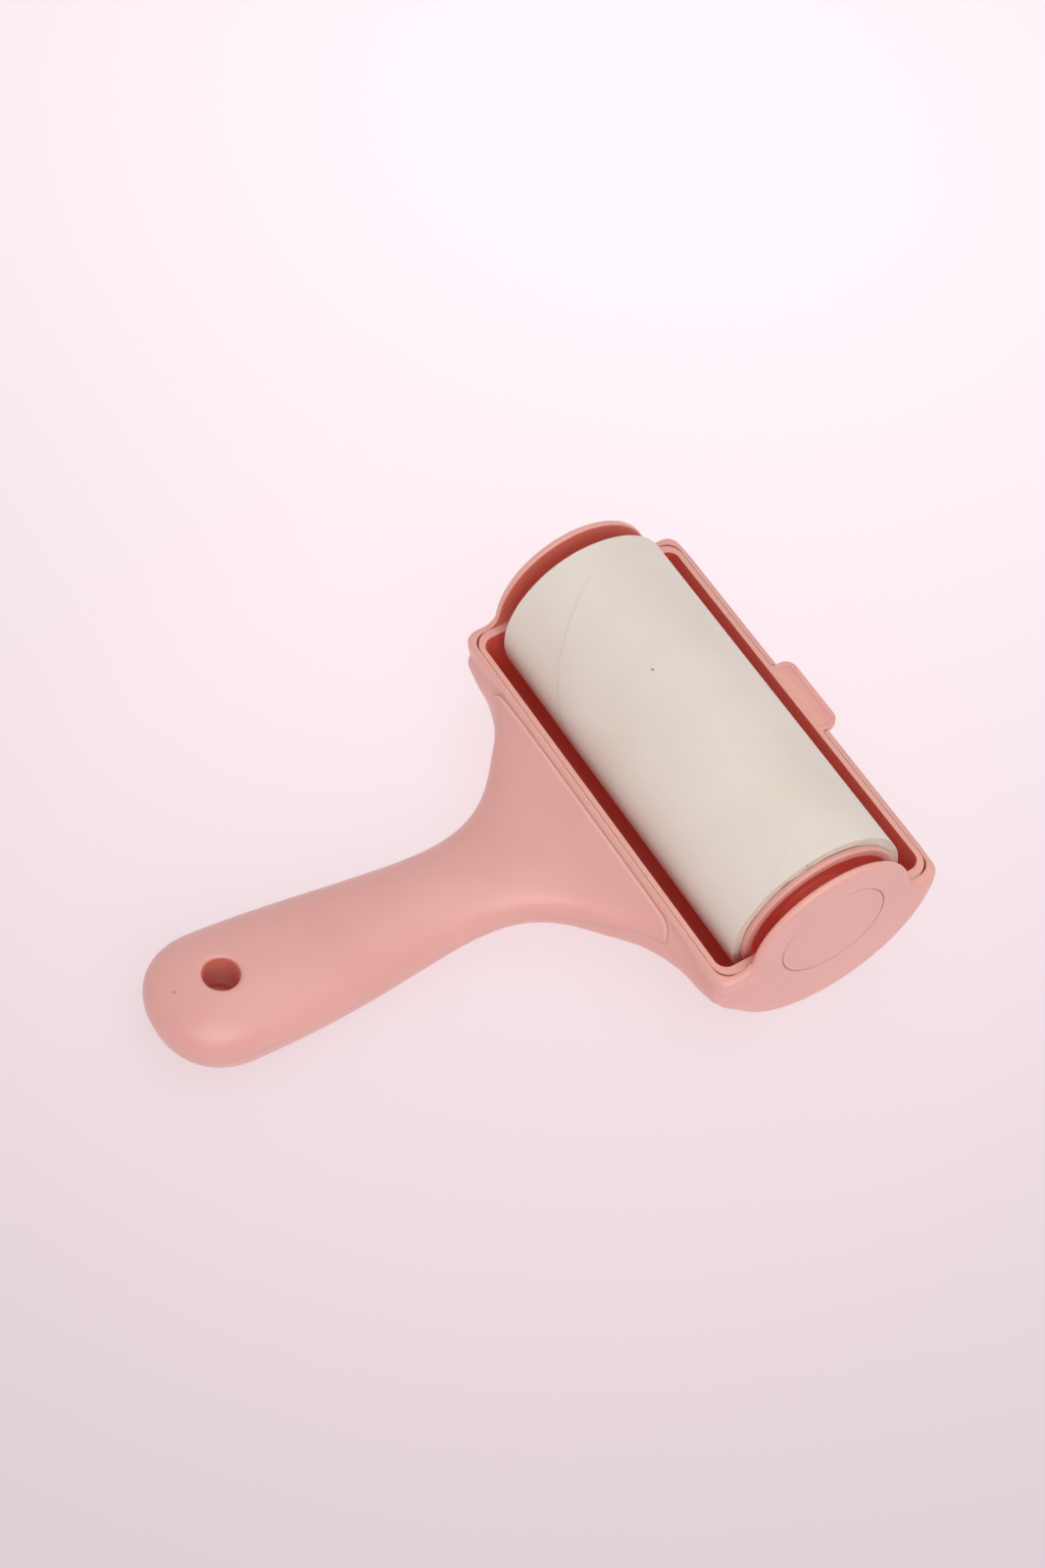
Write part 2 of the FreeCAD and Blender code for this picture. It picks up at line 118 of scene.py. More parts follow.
SHELL_WALL, HOLLOW_START = 2.0, 39.0
SEAM_REACH, LID_HALF, SEAM_GAP, LID_EDGE = 30.45, 41.0, 0.012, 1.0
SEAM_LEAN, LEAN_DEPTH, LEAN_BACK = 0.75, 2.5, (38, 50)
LID_LEFT_CORNER, LID_RIGHT_CORNER = 3.5, 8.0
HANG_REACH, HANG_JOINT, HANG_RADIUS, HANG_LOWER_RADIUS = 127.4, -2.6, 4.25, 3.6
HANG_TUBE, HANG_EDGE = 6.4, 1.0
TUBE_TO_SEAM = HANG_TUBE + 0.3, HANG_TUBE + 1.4
TIP_REACH, TIP_LENGTH, TIP_POWER = 126.0, 17.5, 2.25

# The handle's cross-sections: reach along -Y, half width, heights of the top, of the widest line
# and of the bottom, and how boxy the section is above and below the widest line.
HANDLE = [
    (24.0, 51.0, -0.6, -8.5, -14.0, 4.4, 2.6),
    (27.0, 50.6, -0.6, -8.5, -15.4, 4.4, 2.6),
    (29.3, 48.0, -0.7, -8.5, -16.7, 4.4, 2.6),
    (31.5, 42.3, -0.9, -8.5, -17.9, 4.3, 2.6),
    (34.5, 35.0, -1.3, -8.5, -18.6, 4.0, 2.6),
    (39.0, 28.4, -1.8, -8.4, -19.0, 3.5, 2.7),
    (45.0, 21.3, -1.7, -8.3, -18.5, 3.0, 2.6),
    (53.0, 15.2, -0.8, -8.1, -17.6, 2.6, 2.45),
    (63.0, 12.4, 0.3, -7.9, -16.8, 2.35, 2.4),
    (78.0, 12.7, 2.1, -7.4, -16.5, 2.35, 2.4),
    (95.0, 14.5, 4.2, -5.8, -15.8, 2.5, 2.5),
    (111.0, 15.9, 6.7, -3.5, -13.7, 2.6, 2.6),
    (126.0, 16.4, 9.2, -1.0, -11.2, 2.7, 2.7),
    (144.0, 16.4, 12.1, 1.9, -8.3, 2.7, 2.7),
]

# Where the handle's shells meet: reach along -Y, and height.
PARTING_LINE = [(30.45, -4.7), (33, -5.1), (36, -5.9), (39, -6.9), (45, -8.2), (53, -8.8),
                (63, -8.6), (78, -7.8), (95, -6.2), (111, -3.9), (126, -1.4), (150, 2.4)]


def smooth_curve(places, values):
    """A curve with even bends through the given values, as a function of the place."""
    places, values = np.array(places, float), np.array(values, float)
    gaps = np.diff(places)
    slopes = np.diff(values) / gaps
    count = len(places)
    system, change = np.eye(count), np.zeros(count)
    for i in range(1, count - 1):
        system[i, i - 1:i + 2] = gaps[i - 1], 2 * (gaps[i - 1] + gaps[i]), gaps[i]
        change[i] = 6 * (slopes[i] - slopes[i - 1])
    bend = np.linalg.solve(system, change)

    def curve(at):
        at = np.clip(at, places[0], places[-1])
        i = np.clip(np.searchsorted(places, at) - 1, 0, count - 2)
        past = at - places[i]
        start = slopes[i] - gaps[i] * (2 * bend[i] + bend[i + 1]) / 6
        twist = (bend[i + 1] - bend[i]) / (6 * gaps[i])
        return values[i] + past * (start + past * (bend[i] / 2 + past * twist))
    return curve


HANDLE_REACH, *HANDLE_VALUES = zip(*HANDLE)
HANDLE_CURVES = [smooth_curve(HANDLE_REACH, values) for values in HANDLE_VALUES]
PARTING_CURVE = smooth_curve(*zip(*PARTING_LINE))


# ------------------------------------------------------------ distance fields
# A field gives about the distance from a surface: below zero inside the solid, above zero outside.

STEP, TINY, LEAST_STEEP = 0.05, 1e-6, 0.02


def joined(a, b, fillet):
    """The field of two solids together, with a fillet where they meet."""
    return np.maximum(fillet, np.minimum(a, b)) - np.hypot(np.maximum(fillet - a, 0),
                                                          np.maximum(fillet - b, 0))


def common(a, b, rounding):
    """The field of what two solids share, with its edges rounded."""
    return np.minimum(-rounding, np.maximum(a, b)) + np.hypot(np.maximum(rounding + a, 0),
                                                             np.maximum(rounding + b, 0))


def box_2d(across, up, half, height, corner):
    """A rectangle about the origin with rounded corners."""
    a, b = np.abs(across) - (half - corner), np.abs(up) - (height - corner)
    return np.hypot(np.maximum(a, 0), np.maximum(b, 0)) + np.minimum(np.maximum(a, b), 0) - corner


def drum(x, y, z, half, radius, corner):
    """A round drum about the roll's axis, with rounded edges."""
    return box_2d(x, np.hypot(y, z), half, radius, corner)


def ramp(value, low, high):
    """Zero up to low and one from high on, with a smooth step between."""
    share = np.clip((value - low) / (high - low), 0, 1)
    return share * share * (3 - 2 * share)


def hang_distance(y, z):
    """How far a point is from the hanging hole's axis along Y, and how high along that axis.

    The hole stands upright as the tool rests, so it leans in the tool's own directions."""
    back, up = y + HANG_REACH, z - HANG_JOINT
    return (back * math.cos(REST_TILT) - up * math.sin(REST_TILT),
            back * math.sin(REST_TILT) + up * math.cos(REST_TILT))


def handle_field(x, y, z):
    """The handle's outside: its sections along Y, closed by a rounded tip.

    Dividing by the section's steepness makes the field about a distance."""
    reach = -y
    half, top, widest, bottom, boxy_top, boxy_bottom = (curve(reach) for curve in HANDLE_CURVES)
    widening = (HANDLE_CURVES[0](reach + STEP) - HANDLE_CURVES[0](reach - STEP)) / (2 * STEP)
    above = z > widest
    power = np.where(above, boxy_top, boxy_bottom)
    height = np.where(above, top - widest, widest - bottom)
    across, up = np.abs(x) / half, np.abs(z - widest) / height
    section = (across ** power + up ** power) ** (1 / power)
    safe = np.maximum(section, TINY)
    lean_x, lean_z = (across / safe) ** (power - 1), (up / safe) ** (power - 1)
    past = np.maximum(reach - TIP_REACH, 0) / TIP_LENGTH
    whole = (section ** TIP_POWER + past ** TIP_POWER) ** (1 / TIP_POWER)
    safe_whole = np.maximum(whole, TINY)
    inward = (section / safe_whole) ** (TIP_POWER - 1)
    steep = np.sqrt((inward * lean_x / half) ** 2 + (inward * lean_z / height) ** 2
                    + (inward * lean_x * across * widening / half) ** 2
                    + ((past / safe_whole) ** (TIP_POWER - 1) / TIP_LENGTH) ** 2)
    return np.maximum((whole - 1) / np.maximum(steep, LEAST_STEEP), HANDLE_REACH[0] - reach)


def hollow_field(x, y, z, handle):
    """The room inside the handle, with the hanging hole's tube standing in it."""
    sideways, _ = hang_distance(y, z)
    room = np.maximum(handle + SHELL_WALL, HOLLOW_START + y)
    return np.maximum(room, HANG_TUBE - np.hypot(x, sideways))


def lid_field(x, y, z, handle):
    """The room of the handle's upper shell: behind the head's wall and above the parting line.

    Near the head the parting surface leans, so that it meets the handle's skin squarely. In the
    hanging hole's tube it is flat and square to the hole."""
    sideways, up = hang_distance(y, z)
    lean = SEAM_LEAN * (1 - ramp(-y, *LEAN_BACK))
    seam = PARTING_CURVE(-y) + lean * np.clip(handle, -LEAN_DEPTH, LEAN_DEPTH)
    in_tube = 1 - ramp(np.hypot(x, sideways), *TUBE_TO_SEAM)
    over = (seam - z) * (1 - in_tube) - up * in_tube
    corner = np.where(x < 0, LID_LEFT_CORNER, LID_RIGHT_CORNER)
    plan = common(y + SEAM_REACH, np.abs(x) - LID_HALF, corner)
    return common(plan, over, LID_EDGE)


def head_layers(x, y, z):
    """The head with the handle's lower shell: the solid that is inside every one of these fields."""
    ring, along = np.hypot(y, z), np.abs(x)
    handle = handle_field(x, y, z)
    rim = joined(z, ring - EAR_RADIUS, EAR_FOOT)
    edge = WALL_EDGE + (END_EDGE - WALL_EDGE) * ramp(along, *EDGE_ALONG)
    trough = common(drum(x, y, z, HEAD_HALF + END_SLACK, HEAD_RADIUS, HEAD_CORNER), rim, edge)
    at_end = ramp(along, *FILLET_END_ALONG) * ramp(-z, *FILLET_END_DOWN)
    fillet = FILLET_TOP + FILLET_LOW * ramp(-z, *FILLET_DOWN) + FILLET_END * at_end
    ease = END_EASE + NECK_EASE * ramp(-y, *NECK_BACK) * ramp(-z, *NECK_DOWN)
    outside = common(joined(trough, handle, fillet), along - HEAD_HALF, ease)
    cavity = drum(x, y, z, CAVITY_HALF, CAVITY_RADIUS, CAVITY_CORNER)
    ear_inside = -cavity - STEP_ASIDE * (1 - ramp(z, *EAR_WALL_UP))
    sideways, _ = hang_distance(y, z)
    hole = np.hypot(x, sideways)
    notch = np.maximum(np.maximum(along - NOTCH_HALF, -NOTCH_DEPTH - z), EAR_RADIUS - y)
    recess = np.maximum(ring - RECESS_RADIUS, HEAD_HALF - RECESS_DEPTH - along)
    body = common(outside, HANG_LOWER_RADIUS - hole, HOLE_EDGE)
    return [
        common(body, ear_inside, EAR_EDGE * ramp(z, *EAR_EDGE_UP)),
        -cavity - STEP_ASIDE * ramp(z, *TROUGH_WALL_UP),
        -lid_field(x, y, z, handle),
        -hollow_field(x, y, z, handle),
        -notch + 0 * x,
        PIVOT_BORE - ring + 0 * x,
        -recess,
    ]


def lid_layers(x, y, z):
    """The handle's upper shell."""
    handle = handle_field(x, y, z)
    sideways, _ = hang_distance(y, z)
    return [
        common(handle, HANG_RADIUS - np.hypot(x, sideways), HANG_EDGE),
        lid_field(x, y, z, handle) + SEAM_GAP,
        -hollow_field(x, y, z, handle),
    ]


def tab_plan(x, y):
    """Distance from the thumb tab's outline, seen from above."""
    return box_2d(x, y, TAB_HALF, TAB_REACH, TAB_CORNER)


def cover_layers(x, y, z):
    """The dust cover: a half drum with a round boss at each pivot, and its thumb tab."""
    ring = np.hypot(y, z)
    shell = np.maximum(drum(x, y, z, COVER_HALF, COVER_RADIUS, COVER_CORNER),
                       -drum(x, y, z, COVER_INSIDE_HALF, COVER_INSIDE_RADIUS, COVER_INSIDE_CORNER))
    tab = np.maximum(tab_plan(x, y), TAB_ROOT - y)
    return [
        np.minimum(shell, tab),
        joined(z, ring - BOSS_RADIUS, BOSS_FOOT) + 0 * x,
        np.where(shell < tab, -COVER_RADIUS, -TAB_THICKNESS - z),
        PIVOT_BORE - ring + 0 * x,
    ]


# ------------------------------------------------------------ meshes from fields

SLOPE_STEP = 0.01
SETTLE_ROUNDS, SOFTENING, TINY_LENGTH = 4, 1e-4, 1e-9
SHARP_EDGE = math.radians(35)


def slopes_of(layers, points, wanted):
    """Value and slope of one layer at each point."""
    def sample(at):
        return np.stack(layers(*at.T))[wanted, np.arange(len(at))]
    slope = np.stack([(sample(points + move) - sample(points - move)) / (2 * SLOPE_STEP)
                      for move in np.eye(3) * SLOPE_STEP], axis=1)
    return sample(points), slope


def settle(layers, points, touching, cell):
    """Move each point onto every surface that its cell touches: a face, or an edge between faces."""
    start = points.copy()
    for pattern in np.unique(touching, axis=0):
        here = np.nonzero((touching == pattern).all(axis=1))[0]
        surfaces = np.nonzero(pattern)[0]
        for _ in range(SETTLE_ROUNDS):
            at = points[here]
            found = [slopes_of(layers, at, np.full(len(at), surface)) for surface in surfaces]
            values = np.stack([value for value, _ in found], axis=1)
            slopes = np.stack([slope for _, slope in found], axis=1)
            squares = slopes @ slopes.transpose(0, 2, 1) + SOFTENING * np.eye(len(surfaces))
            pull = np.linalg.solve(squares, values[:, :, None])
            move = (slopes.transpose(0, 2, 1) @ pull)[:, :, 0]
            length = np.linalg.norm(move, axis=1, keepdims=True)
            at = at - move * np.minimum(1, 0.5 * cell / np.maximum(length, TINY_LENGTH))
            away = at - start[here]
            length = np.linalg.norm(away, axis=1, keepdims=True)
            points[here] = start[here] + away * np.minimum(1, cell / np.maximum(length, TINY_LENGTH))


def field_mesh(layers, low, high, cell):
    """Points, four-sided faces and one normal per face corner of the solid inside every layer."""
    low = np.array(low, float)
    counts = np.ceil((np.array(high) - low) / cell).astype(int) + 1
    axes = [low[k] + cell * np.arange(counts[k]) for k in range(3)]
    grids = np.meshgrid(*axes, indexing="ij", sparse=True)
    stack = np.stack([np.broadcast_to(layer, counts) for layer in layers(*grids)])
    values = stack.max(axis=0)
    inside = values < 0
    corner_sum = np.zeros((3, values.size))
    hits = np.zeros(values.size)
    touching = np.zeros((len(stack), values.size), bool)
    rings = []
    for axis in range(3):
        unit = np.eye(3, dtype=int)[axis]
        second, third = np.eye(3, dtype=int)[(axis + 1) % 3], np.eye(3, dtype=int)[(axis + 2) % 3]
        near = [slice(0, counts[k] - unit[k]) for k in range(3)]
        far = [slice(unit[k], counts[k]) for k in range(3)]
        start = np.stack(np.nonzero(inside[tuple(near)] != inside[tuple(far)]), axis=1)
        end = start + unit
        before, after = stack[(slice(None), *start.T)], stack[(slice(None), *end.T)]
        first, last = before.max(axis=0), after.max(axis=0)
        share = first / (first - last)
        active = (before + (after - before) * share).argmax(axis=0)
        crossing = start + share[:, None] * unit
        cells = [np.ravel_multi_index((start - shift).T, counts)
                 for shift in (0 * unit, second, second + third, third)]
        for ids in cells:
            for k in range(3):
                corner_sum[k] += np.bincount(ids, crossing[:, k], values.size)
            hits += np.bincount(ids, minlength=values.size)
            touching[active, ids] = True
        ring = np.stack(cells, axis=1)
        rings.append(np.where((first < 0)[:, None], ring, ring[:, ::-1]))
    used = np.nonzero(hits)[0]
    number = np.zeros(values.size, int)
    number[used] = np.arange(len(used))
    points = low + cell * (corner_sum[:, used] / hits[used]).T
    faces = number[np.concatenate(rings)]
    settle(layers, points, touching[:, used].T, cell)
    middles = points[faces].mean(axis=1)
    face_layer = np.stack(layers(*middles.T)).argmax(axis=0)
    pairs, where = np.unique(faces * len(stack) + face_layer[:, None], return_inverse=True)
    _, slope = slopes_of(layers, points[pairs // len(stack)], pairs % len(stack))
    slope /= np.maximum(np.linalg.norm(slope, axis=1, keepdims=True), TINY_LENGTH)
    return points, faces, slope[where.ravel()]


def add_piece(name, points, faces, body, material, replaced, normals=None):
    """A piece that rides on a body, with its material, and stands for a CAD node."""
    mesh = bpy.data.meshes.new(name)
    mesh.from_pydata(to_row(points), [], np.asarray(faces).tolist())
    mesh.polygons.foreach_set("use_smooth", [True] * len(mesh.polygons))
    if normals is None:
        mesh.set_sharp_from_angle(angle=SHARP_EDGE)
    else:
        mesh.normals_split_custom_set((normals @ TIPPED.T).tolist())
    mesh.materials.append(material)
    piece = bpy.data.objects.new(name, mesh)
    bpy.context.scene.collection.objects.link(piece)
    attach(piece, body)
    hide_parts(replaced)


def rounded_outline(corners, steps=6):
    """A closed outline through (along, out, rounding) corners, with an arc at each rounded one."""
    outline = []
    for number, (along, out, rounding) in enumerate(corners):
        here = np.array([along, out])
        before, after = (np.array(corners[(number + step) % len(corners)][:2]) - here for step in (-1, 1))
        if not rounding:
            outline.append(here)
            continue
        before, after = before / np.linalg.norm(before), after / np.linalg.norm(after)
        half_angle = math.acos(np.clip(before @ after, -1, 1)) / 2
        bisector = (before + after) / np.linalg.norm(before + after)
        centre = here + bisector * rounding / math.sin(half_angle)
        first, last = (here + way * rounding / math.tan(half_angle) - centre for way in (before, after))
        turn = math.atan2(first[0] * last[1] - first[1] * last[0], first @ last)
        for step in range(steps + 1):
            angle = turn * step / steps
            outline.append(centre + np.array([first[0] * math.cos(angle) - first[1] * math.sin(angle),
                                              first[0] * math.sin(angle) + first[1] * math.cos(angle)]))
    return np.array(outline)


def turned(outline, segments):
    """Points and faces of a closed outline turned about the roll's axis."""
    count = len(outline)
    angles = np.arange(segments) * 2 * math.pi / segments
    along = np.tile(outline[:, 0], segments)
    out = np.tile(outline[:, 1], segments)
    angle = np.repeat(angles, count)
    points = np.stack([along, out * np.cos(angle), out * np.sin(angle)], axis=1)
    row, column = np.meshgrid(np.arange(segments), np.arange(count), indexing="ij")
    next_row, next_column = (row + 1) % segments, (column + 1) % count
    faces = np.stack([row * count + column, row * count + next_column,
                      next_row * count + next_column, next_row * count + column], axis=-1).reshape(-1, 4)
    return points, faces


def outward(points, faces):
    """The faces, turned over if they bound their solid from inside."""
    a, b, c, d = (points[faces[:, k]] for k in range(4))
    volume = np.einsum("ij,ij->i", a, np.cross(b, c) + np.cross(c, d)).sum()
    return faces if volume > 0 else faces[:, ::-1]


# ------------------------------------------------------------ materials

def linear(red, green, blue):
    """A screen colour in the 0 to 255 scale, as the renderer's linear colour."""
    scaled = [c / 255 for c in (red, green, blue)]
    return [*(c / 12.92 if c < 0.04045 else ((c + 0.055) / 1.055) ** 2.4 for c in scaled), 1.0]


class Nodes:
    """A material's nodes, added one at a time."""

    def __init__(self, name):
        self.material = bpy.data.materials.new(name)
        self.material.use_nodes = True
        self.tree = self.material.node_tree
        self.shader = self.tree.nodes["Principled BSDF"]

    def add(self, kind, output=0, inputs=(), **settings):
        made = self.tree.nodes.new(kind)
        for key, value in settings.items():
            setattr(made, key, value)
        for key, value in dict(inputs).items():
            self.set(made.inputs[key], value)
        return made.outputs[output]

    def set(self, socket, value):
        if isinstance(value, bpy.types.NodeSocket):
            self.tree.links.new(value, socket)
        else:
            socket.default_value = value

    def math(self, operation, *values):
        return self.add("ShaderNodeMath", inputs=enumerate(values), operation=operation)

    def noise(self, place, size, detail=2.0, roughness=0.5):
        """Noise whose features are about size millimetres across."""
        return self.add("ShaderNodeTexNoise", inputs={"Vector": place, "Scale": 1 / size,
                                                      "Detail": detail, "Roughness": roughness})

    def between(self, value, low, high, to_low=0.0, to_high=1.0):
        """A smooth step from to_low at low to to_high at high."""
        inputs = {"Value": value, "From Min": low, "From Max": high, "To Min": to_low, "To Max": to_high}
        return self.add("ShaderNodeMapRange", inputs=inputs, interpolation_type="SMOOTHSTEP")

    def blend(self, share, first, second):
        mixed = self.tree.nodes.new("ShaderNodeMix")
        mixed.data_type = "RGBA"
        for key, value in (("Factor", share), ("A", first), ("B", second)):
            kind = "VALUE" if key == "Factor" else "RGBA"
            self.set(next(s for s in mixed.inputs if s.name == key and s.type == kind), value)
        return next(s for s in mixed.outputs if s.type == "RGBA")

    def bump(self, height, depth, normal=None):
        """Depth in millimetres."""
        inputs = {"Height": height, "Strength": 1.0, "Distance": depth * MM}
        if normal is not None:
            inputs["Normal"] = normal
        return self.add("ShaderNodeBump", inputs=inputs)

    def tool_place(self):
        """The tool's own directions, in millimetres, and their three parts."""
        here = self.add("ShaderNodeTexCoord", output=3)
        place = self.add("ShaderNodeMapping", vector_type="TEXTURE",
                         inputs={"Vector": here, "Location": tuple(ROLL_AXIS),
                                 "Rotation": (REST_TILT, 0, 0), "Scale": (MM, MM, MM)})
        return place, [self.add("ShaderNodeSeparateXYZ", output=k, inputs={0: place}) for k in range(3)]

    def length(self, a, b):
        squares = self.math("ADD", self.math("MULTIPLY", a, a), self.math("MULTIPLY", b, b))
        return self.math("SQRT", squares)

    def distance(self, place, centre):
        return self.add("ShaderNodeVectorMath", output=1, inputs={0: place, 1: centre},
                        operation="DISTANCE")

    def spot(self, place, centre, radius):
        """One at the centre of a small round mark, and zero outside it."""
        return self.between(self.distance(place, centre), radius, 0.6 * radius)

    def specks(self, place, spacing, outer, inner):
        """Small marks about spacing millimetres apart: one at the centres, and zero past outer,
        which like inner is a share of the spacing."""
        cells = self.add("ShaderNodeTexVoronoi", inputs={"Vector": place, "Scale": 1 / spacing})
        return self.between(cells, outer, inner)

    def finish(self, **inputs):
        """The finished material, with these inputs of its shader."""
        for key, value in inputs.items():
            self.set(self.shader.inputs[key.replace("_", " ")], value)
        return self.material


# the hollows' colour is painted shade, with a painted red glow
MASK_LOW, MASK_HIGH = 0.02, 0.12        # how far past a hollow's wall its colour runs out


def in_drum(m, x, y, z, half, radius, corner):
    """One inside a drum about the roll's axis, with rounded edges, and zero outside it."""
    a = m.math("SUBTRACT", m.math("ABSOLUTE", x), half - corner)
    b = m.math("SUBTRACT", m.length(y, z), radius - corner)
    past = m.length(m.math("MAXIMUM", a, 0.0), m.math("MAXIMUM", b, 0.0))
    return m.between(past, corner + MASK_HIGH, corner + MASK_LOW)


def trough_inside(m, x, y, z):
    """One on the faces that look into the trough."""
    return in_drum(m, x, y, z, COVER_INSIDE_HALF, COVER_INSIDE_RADIUS, COVER_INSIDE_CORNER)


def housing_inside(m, x, y, z):
    """One inside the head's wall, and down the hanging hole."""
    return m.math("MAXIMUM", in_drum(m, x, y, z, CAVITY_HALF, CAVITY_RADIUS, CAVITY_CORNER),
                  hole_inside(m, x, y, z))


def hole_inside(m, x, y, z):
    """One on the hanging hole's wall."""
    back = m.math("MULTIPLY", m.math("ADD", y, HANG_REACH), math.cos(REST_TILT))
    up = m.math("MULTIPLY", m.math("SUBTRACT", z, HANG_JOINT), math.sin(REST_TILT))
    away = m.length(x, m.math("SUBTRACT", back, up))
    return m.between(away, HANG_RADIUS + 0.35, HANG_RADIUS)


def hub_inside(m, x, y, z):
    """One in the hub's dished face, inside its lip."""
    return m.math("MULTIPLY", m.between(m.length(y, z), HUB_RADIUS - 1.8, HUB_RADIUS - 2.7),
                  m.between(m.math("ABSOLUTE", x), ROLL_HALF + 1.9, ROLL_HALF + 0.6))


def rim_highlight_mask(m, x, y, z):
    """One along the rims and the ears' edges, where a lighter colour is painted as a highlight."""
    high = m.math("MULTIPLY", m.between(z, -2.2, -0.2),
                  m.between(m.length(y, z), HEAD_RADIUS + 0.5, HEAD_RADIUS))
    return m.math("MULTIPLY", high, m.between(m.math("ABSOLUTE", x), HEAD_HALF - 0.2, HEAD_HALF - 0.8))


def seam_distance(m, x, y):
    """Distance in plan from the front edge of the handle's upper shell, below zero on the shell."""
    corner = m.between(x, -1, 1, LID_LEFT_CORNER, LID_RIGHT_CORNER)
    a = m.math("ADD", y, SEAM_REACH)
    b = m.math("SUBTRACT", m.math("ABSOLUTE", x), LID_HALF)
    round_part = m.length(m.math("MAXIMUM", m.math("ADD", a, corner), 0.0),
                          m.math("MAXIMUM", m.math("ADD", b, corner), 0.0))
    flat_part = m.math("MINIMUM", m.math("MULTIPLY", corner, -1.0), m.math("MAXIMUM", a, b))
    return m.math("ADD", flat_part, round_part)


def plastic(name, colours, painted_glow, inside, shift, groove=None, seam=False, rim=False):
    """Satin moulded plastic: faint cloudiness, a fine grain, a few specks and soft handling marks.

    Its colours are its own, a deeper one, and a deeper red painted into its hollows as shade. The
    hollows also get a faint red emission, a painted glow of light coming through the plastic.
    The edges, the rims and the seams get painted highlights, and the seams a painted shade line.
    The shift moves the marks, so that no two mouldings have the same ones."""
    colour, deep_colour, shade_colour = colours
    m = Nodes(name)
    here, (x, y, z) = m.tool_place()
    place = m.add("ShaderNodeMapping", inputs={"Vector": here, "Location": (3 * shift, 2 * shift, 0)})
    clouds = m.between(m.noise(place, 30, detail=3), 0.3, 0.7)
    patches = m.between(m.noise(place, 7, detail=2), 0.35, 0.7)
    grain = m.noise(place, 0.35, detail=2)
    tint = m.blend(clouds, deep_colour, colour)
    tint = m.blend(m.math("MULTIPLY", patches, 0.25), tint, colour)
    speck = m.math("MAXIMUM", m.specks(place, 15, 0.018, 0.010), m.spot(here, HANDLE_SPECK, 0.5))
    tint = m.blend(m.math("MULTIPLY", speck, 0.45), tint, SPECK_BROWN)
    # painted highlight along the rims and the ears' edges
    if rim:
        tint = m.blend(m.math("MULTIPLY", rim_highlight_mask(m, x, y, z), 0.25), tint, RIM_HIGHLIGHT_PINK)
    # painted shade: the hollows get a deeper, redder colour where shade falls
    hollow = inside(m, x, y, z)
    tint = m.blend(hollow, tint, shade_colour)
    # painted highlight: the edges are made lighter, where a normal averaged over a small radius leaves
    # the surface's own
    soft_edge = m.add("ShaderNodeBevel", inputs={"Radius": 0.25 * MM}, samples=4)
    facing = m.add("ShaderNodeVectorMath", output=1, operation="DOT_PRODUCT",
                   inputs={0: soft_edge, 1: m.add("ShaderNodeNewGeometry", output=1)})
    tint = m.blend(m.between(facing, 0.995, 0.90, 0.0, 0.45), tint, EDGE_HIGHLIGHT_PINK)
    # painted highlight on the upper shell's side of the seam, and a painted shade line along the seam
    if seam:
        away = seam_distance(m, x, y)
        on_top = m.between(z, -4.5, -2.5)
        seam_highlight = m.between(m.math("ABSOLUTE", m.math("ADD", away, 0.6)), 0.5, 0.1, 0.0, 0.6)
        tint = m.blend(m.math("MULTIPLY", on_top, seam_highlight), tint, EDGE_HIGHLIGHT_PINK)
        line = m.between(m.math("ABSOLUTE", away), 0.4, 0.05, 0.0, 0.4)
        tint = m.blend(m.math("MULTIPLY", on_top, line), tint, SEAM_SHADE_RED)
    smear = m.between(m.noise(place, 14, detail=4, roughness=0.65), 0.55, 0.7)
    rough = m.math("ADD", m.between(grain, 0.3, 0.7, 0.38, 0.44), m.math("MULTIPLY", smear, 0.06))
    normal = m.bump(m.noise(place, 3.5, detail=1), 0.02, m.bump(grain, 0.010, soft_edge))
    if groove:
        normal = m.bump(groove(m, x, y, z), 0.12, normal)
    # the red emission in the hollows is a painted glow, standing in for light coming through the plastic
    return m.finish(Base_Color=tint, Roughness=rough, Normal=normal, IOR=1.55, Specular_IOR_Level=0.9,
                    Sheen_Weight=0.15, Sheen_Roughness=0.5,
                    Subsurface_Weight=0.5, Subsurface_Radius=(1.5 * MM, 0.7 * MM, 0.5 * MM),
                    Subsurface_Scale=1.0, Emission_Color=(1.0, 0.08, 0.05, 1),
                    Emission_Strength=m.math("MULTIPLY", hollow, painted_glow))


def tab_groove(m, x, y, z):
    """Zero along the fine line inside the thumb tab's edge, and one elsewhere."""
    past = m.math("SMOOTH_MAX", m.math("SUBTRACT", m.math("ABSOLUTE", x), TAB_HALF - TAB_BORDER),
                  m.math("SUBTRACT", y, TAB_REACH - TAB_BORDER), 1.5)
    on_tab = m.math("MULTIPLY", m.between(y, COVER_RADIUS, COVER_RADIUS + 0.4),
                    m.between(z, -0.5, -0.1))
    line = m.between(m.math("ABSOLUTE", past), 0.28, 0.05)
    return m.math("SUBTRACT", 1.0, m.math("MULTIPLY", line, on_tab))


